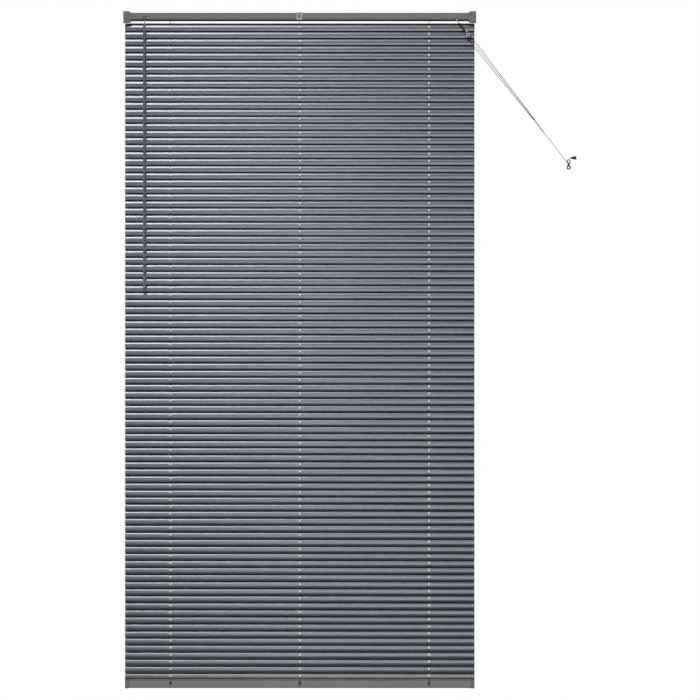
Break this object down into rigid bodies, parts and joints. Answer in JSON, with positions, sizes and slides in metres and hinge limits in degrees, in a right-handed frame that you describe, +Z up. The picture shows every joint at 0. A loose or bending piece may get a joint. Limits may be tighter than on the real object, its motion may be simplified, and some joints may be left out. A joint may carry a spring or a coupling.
{
  "type": "venetian blind",
  "caption": "Venetian blind with crowned metal slats on cord ladders, channel headrail in box brackets, tilt wand, cord lock, weighted bottom rail and wall cleat.",
  "frame": {"origin": "on the wall plane, at the middle of the headrail's width and height, which is the centre of the four wall screws", "axes": "+X to the right as seen from the room, +Y into the wall, +Z up"},
  "size_m": [1.4124, 0.0388, 2.1116],
  "materials": {
    "painted_steel_grey": "satin baked enamel, mid grey",
    "painted_bracket_steel": "satin baked enamel, mid grey",
    "painted_aluminium": "satin metallic blue-grey enamel",
    "grey_plastic": "moulded, slightly rough",
    "clear_plastic": "clear moulded polycarbonate",
    "white_nylon": "moulded nylon",
    "zinc_steel": "zinc plated",
    "wand_plastic": "glossy moulded plastic",
    "brass": "polished",
    "braided_cord": "braided polyester, light grey",
    "ladder_cord": "braided polyester, light grey",
    "pale_plastic": "pale moulded plastic",
    "dark_plastic": "moulded, dark grey"
  },
  "bodies": {
    "root": {"headrail": "painted_steel_grey", "headrail_plug_right": "grey_plastic", "headrail_plug_left": "grey_plastic", "bracket_right": "painted_bracket_steel", "bracket_left": "painted_bracket_steel", "centre_bracket": "clear_plastic", "ladder_cradles": "white_nylon", "tilter_housing": "white_nylon", "lock_housing": "white_nylon", "lock_pin": "zinc_steel", "lift_cords": "braided_cord", "pull_cords": "braided_cord", "cord_ring": "pale_plastic", "cord_bead": "pale_plastic", "cord_joiner": "pale_plastic", "pull_cord_lower": "braided_cord", "cord_cleat": "dark_plastic", "tassel": "dark_plastic", "ladder_section_01": "ladder_cord"},
    "door_right": {"bracket_door_right": "painted_bracket_steel"},
    "door_left": {"bracket_door_left": "painted_bracket_steel"},
    "tilt_shaft": {"tilt_rod": "zinc_steel", "ladder_drums": "white_nylon", "worm_wheel": "white_nylon"},
    "worm": {"worm_shaft": "zinc_steel"},
    "wand_hanger": {"wand_connector": "wand_plastic"},
    "wand": {"wand": "wand_plastic"},
    "roller": {"lock_roller": "brass"},
    "rail_lift": {"ladder_tails": "ladder_cord"},
    "bottom_rail": {"bottom_rail": "painted_steel_grey", "bottom_rail_caps": "grey_plastic", "bottom_rail_plugs": "dark_plastic"},
    "slats_01": {"slats_01": "painted_aluminium"},
    "slats_02": {"slats_02": "painted_aluminium"},
    "ladder_02": {"ladder_section_02": "ladder_cord"},
    "slats_03": {"slats_03": "painted_aluminium"},
    "ladder_03": {"ladder_section_03": "ladder_cord"},
    "slats_04": {"slats_04": "painted_aluminium"},
    "ladder_04": {"ladder_section_04": "ladder_cord"},
    "slats_05": {"slats_05": "painted_aluminium"},
    "ladder_05": {"ladder_section_05": "ladder_cord"},
    "slats_06": {"slats_06": "painted_aluminium"},
    "ladder_06": {"ladder_section_06": "ladder_cord"},
    "slats_07": {"slats_07": "painted_aluminium"},
    "ladder_07": {"ladder_section_07": "ladder_cord"},
    "slats_08": {"slats_08": "painted_aluminium"},
    "ladder_08": {"ladder_section_08": "ladder_cord"},
    "slats_09": {"slats_09": "painted_aluminium"},
    "ladder_09": {"ladder_section_09": "ladder_cord"},
    "slats_10": {"slats_10": "painted_aluminium"},
    "ladder_10": {"ladder_section_10": "ladder_cord"},
    "slats_11": {"slats_11": "painted_aluminium"},
    "ladder_11": {"ladder_section_11": "ladder_cord"},
    "slats_12": {"slats_12": "painted_aluminium"},
    "ladder_12": {"ladder_section_12": "ladder_cord"},
    "slats_13": {"slats_13": "painted_aluminium"},
    "ladder_13": {"ladder_section_13": "ladder_cord"},
    "slats_14": {"slats_14": "painted_aluminium"},
    "ladder_14": {"ladder_section_14": "ladder_cord"}
  },
  "joints": [
    {"name": "door_right_hinge", "type": "hinge", "parent": "root", "child": "door_right", "pos_m": [0.538, -0.03, 0.0162], "axis": [-1, 0, 0], "range_deg": [0, 100]},
    {"name": "door_left_hinge", "type": "hinge", "parent": "root", "child": "door_left", "pos_m": [-0.538, -0.03, 0.0162], "axis": [-1, 0, 0], "range_deg": [0, 100]},
    {"name": "slats_01_tilt", "type": "hinge", "parent": "root", "child": "slats_01", "pos_m": [0, -0.0155, -0.0422], "axis": [-1, 0, 0], "range_deg": [0, 70], "deforming": ["slats_01", "ladder_section_01"]},
    {"name": "ladder_02_lift", "type": "slide", "parent": "root", "child": "ladder_02", "axis": [0, 0, 1], "range_m": [0, 0.04243], "deforming": ["ladder_section_02"]},
    {"name": "slats_02_tilt", "type": "hinge", "parent": "ladder_02", "child": "slats_02", "pos_m": [0, -0.0155, -0.1412], "axis": [-1, 0, 0], "range_deg": [0, 70], "deforming": ["slats_02"]},
    {"name": "ladder_03_lift", "type": "slide", "parent": "root", "child": "ladder_03", "axis": [0, 0, 1], "range_m": [0, 0.19486], "deforming": ["ladder_section_03"]},
    {"name": "slats_03_tilt", "type": "hinge", "parent": "ladder_03", "child": "slats_03", "pos_m": [0, -0.0155, -0.2952], "axis": [-1, 0, 0], "range_deg": [0, 70], "deforming": ["slats_03"]},
    {"name": "ladder_04_lift", "type": "slide", "parent": "root", "child": "ladder_04", "axis": [0, 0, 1], "range_m": [0, 0.34729], "deforming": ["ladder_section_04"]},
    {"name": "slats_04_tilt", "type": "hinge", "parent": "ladder_04", "child": "slats_04", "pos_m": [0, -0.0155, -0.4492], "axis": [-1, 0, 0], "range_deg": [0, 70], "deforming": ["slats_04"]},
    {"name": "ladder_05_lift", "type": "slide", "parent": "root", "child": "ladder_05", "axis": [0, 0, 1], "range_m": [0, 0.49972], "deforming": ["ladder_section_05"]},
    {"name": "slats_05_tilt", "type": "hinge", "parent": "ladder_05", "child": "slats_05", "pos_m": [0, -0.0155, -0.6032], "axis": [-1, 0, 0], "range_deg": [0, 70], "deforming": ["slats_05"]},
    {"name": "ladder_06_lift", "type": "slide", "parent": "root", "child": "ladder_06", "axis": [0, 0, 1], "range_m": [0, 0.65214], "deforming": ["ladder_section_06"]},
    {"name": "slats_06_tilt", "type": "hinge", "parent": "ladder_06", "child": "slats_06", "pos_m": [0, -0.0155, -0.7572], "axis": [-1, 0, 0], "range_deg": [0, 70], "deforming": ["slats_06"]},
    {"name": "ladder_07_lift", "type": "slide", "parent": "root", "child": "ladder_07", "axis": [0, 0, 1], "range_m": [0, 0.80457], "deforming": ["ladder_section_07"]},
    {"name": "slats_07_tilt", "type": "hinge", "parent": "ladder_07", "child": "slats_07", "pos_m": [0, -0.0155, -0.9112], "axis": [-1, 0, 0], "range_deg": [0, 70], "deforming": ["slats_07"]},
    {"name": "ladder_08_lift", "type": "slide", "parent": "root", "child": "ladder_08", "axis": [0, 0, 1], "range_m": [0, 0.957], "deforming": ["ladder_section_08"]},
    {"name": "slats_08_tilt", "type": "hinge", "parent": "ladder_08", "child": "slats_08", "pos_m": [0, -0.0155, -1.0652], "axis": [-1, 0, 0], "range_deg": [0, 70], "deforming": ["slats_08"]},
    {"name": "ladder_09_lift", "type": "slide", "parent": "root", "child": "ladder_09", "axis": [0, 0, 1], "range_m": [0, 1.10943], "deforming": ["ladder_section_09"]},
    {"name": "slats_09_tilt", "type": "hinge", "parent": "ladder_09", "child": "slats_09", "pos_m": [0, -0.0155, -1.2192], "axis": [-1, 0, 0], "range_deg": [0, 70], "deforming": ["slats_09"]},
    {"name": "ladder_10_lift", "type": "slide", "parent": "root", "child": "ladder_10", "axis": [0, 0, 1], "range_m": [0, 1.26186], "deforming": ["ladder_section_10"]},
    {"name": "slats_10_tilt", "type": "hinge", "parent": "ladder_10", "child": "slats_10", "pos_m": [0, -0.0155, -1.3732], "axis": [-1, 0, 0], "range_deg": [0, 70], "deforming": ["slats_10"]},
    {"name": "ladder_11_lift", "type": "slide", "parent": "root", "child": "ladder_11", "axis": [0, 0, 1], "range_m": [0, 1.41429], "deforming": ["ladder_section_11"]},
    {"name": "slats_11_tilt", "type": "hinge", "parent": "ladder_11", "child": "slats_11", "pos_m": [0, -0.0155, -1.5272], "axis": [-1, 0, 0], "range_deg": [0, 70], "deforming": ["slats_11"]},
    {"name": "ladder_12_lift", "type": "slide", "parent": "root", "child": "ladder_12", "axis": [0, 0, 1], "range_m": [0, 1.56672], "deforming": ["ladder_section_12"]},
    {"name": "slats_12_tilt", "type": "hinge", "parent": "ladder_12", "child": "slats_12", "pos_m": [0, -0.0155, -1.6812], "axis": [-1, 0, 0], "range_deg": [0, 70], "deforming": ["slats_12"]},
    {"name": "ladder_13_lift", "type": "slide", "parent": "root", "child": "ladder_13", "axis": [0, 0, 1], "range_m": [0, 1.71914], "deforming": ["ladder_section_13"]},
    {"name": "slats_13_tilt", "type": "hinge", "parent": "ladder_13", "child": "slats_13", "pos_m": [0, -0.0155, -1.8352], "axis": [-1, 0, 0], "range_deg": [0, 70], "deforming": ["slats_13"]},
    {"name": "ladder_14_lift", "type": "slide", "parent": "root", "child": "ladder_14", "axis": [0, 0, 1], "range_m": [0, 1.87157], "deforming": ["ladder_section_14"]},
    {"name": "slats_14_tilt", "type": "hinge", "parent": "ladder_14", "child": "slats_14", "pos_m": [0, -0.0155, -1.9892], "axis": [-1, 0, 0], "range_deg": [0, 70], "deforming": ["slats_14"]},
    {"name": "blind_lift", "type": "slide", "parent": "root", "child": "rail_lift", "axis": [0, 0, 1], "range_m": [0, 1.87157], "deforming": ["ladder_tails", "lift_cords"]},
    {"name": "bottom_rail_tilt", "type": "hinge", "parent": "rail_lift", "child": "bottom_rail", "pos_m": [0, -0.0155, -2.0802], "axis": [-1, 0, 0], "range_deg": [0, 70]},
    {"name": "tilt_rod_turn", "type": "hinge", "parent": "root", "child": "tilt_shaft", "pos_m": [0, -0.0155, 0], "axis": [-1, 0, 0], "range_deg": [0, 85.01]},
    {"name": "worm_turn", "type": "hinge", "parent": "root", "child": "worm", "pos_m": [-0.484, -0.02166, 0.00287], "axis": [0, -0.4226, -0.9063], "range_deg": [0, 1190.1]},
    {"name": "wand_swing", "type": "hinge", "parent": "root", "child": "wand_hanger", "pos_m": [-0.484, -0.03419, -0.024], "axis": [-1, 0, 0], "range_deg": [0, 45]},
    {"name": "wand_turn", "type": "hinge", "parent": "wand_hanger", "child": "wand", "pos_m": [-0.484, -0.03419, -0.024], "axis": [0, 0, -1], "range_deg": [0, 1190.1]},
    {"name": "lock_roller_turn", "type": "hinge", "parent": "root", "child": "roller", "pos_m": [0.4895, -0.0257, -0.0083], "axis": [0, -1, 0], "continuous": true}
  ],
  "couplings": [
    {"joint": "slats_01_tilt", "follows": "slats_08_tilt", "ratio": 1},
    {"joint": "slats_02_tilt", "follows": "slats_08_tilt", "ratio": 1},
    {"joint": "slats_03_tilt", "follows": "slats_08_tilt", "ratio": 1},
    {"joint": "slats_04_tilt", "follows": "slats_08_tilt", "ratio": 1},
    {"joint": "slats_05_tilt", "follows": "slats_08_tilt", "ratio": 1},
    {"joint": "slats_06_tilt", "follows": "slats_08_tilt", "ratio": 1},
    {"joint": "slats_07_tilt", "follows": "slats_08_tilt", "ratio": 1},
    {"joint": "slats_09_tilt", "follows": "slats_08_tilt", "ratio": 1},
    {"joint": "slats_10_tilt", "follows": "slats_08_tilt", "ratio": 1},
    {"joint": "slats_11_tilt", "follows": "slats_08_tilt", "ratio": 1},
    {"joint": "slats_12_tilt", "follows": "slats_08_tilt", "ratio": 1},
    {"joint": "slats_13_tilt", "follows": "slats_08_tilt", "ratio": 1},
    {"joint": "slats_14_tilt", "follows": "slats_08_tilt", "ratio": 1},
    {"joint": "bottom_rail_tilt", "follows": "slats_08_tilt", "ratio": 1},
    {"joint": "tilt_rod_turn", "follows": "slats_08_tilt", "ratio": 1.2143},
    {"joint": "worm_turn", "follows": "slats_08_tilt", "ratio": 17},
    {"joint": "wand_turn", "follows": "slats_08_tilt", "ratio": 17},
    {"joint": "ladder_02_lift", "follows": "blind_lift", "ratio": 0.02267},
    {"joint": "ladder_03_lift", "follows": "blind_lift", "ratio": 0.10411},
    {"joint": "ladder_04_lift", "follows": "blind_lift", "ratio": 0.18556},
    {"joint": "ladder_05_lift", "follows": "blind_lift", "ratio": 0.267},
    {"joint": "ladder_06_lift", "follows": "blind_lift", "ratio": 0.34845},
    {"joint": "ladder_07_lift", "follows": "blind_lift", "ratio": 0.42989},
    {"joint": "ladder_08_lift", "follows": "blind_lift", "ratio": 0.51133},
    {"joint": "ladder_09_lift", "follows": "blind_lift", "ratio": 0.59278},
    {"joint": "ladder_10_lift", "follows": "blind_lift", "ratio": 0.67422},
    {"joint": "ladder_11_lift", "follows": "blind_lift", "ratio": 0.75567},
    {"joint": "ladder_12_lift", "follows": "blind_lift", "ratio": 0.83711},
    {"joint": "ladder_13_lift", "follows": "blind_lift", "ratio": 0.91856},
    {"joint": "ladder_14_lift", "follows": "blind_lift", "ratio": 1}
  ]
}
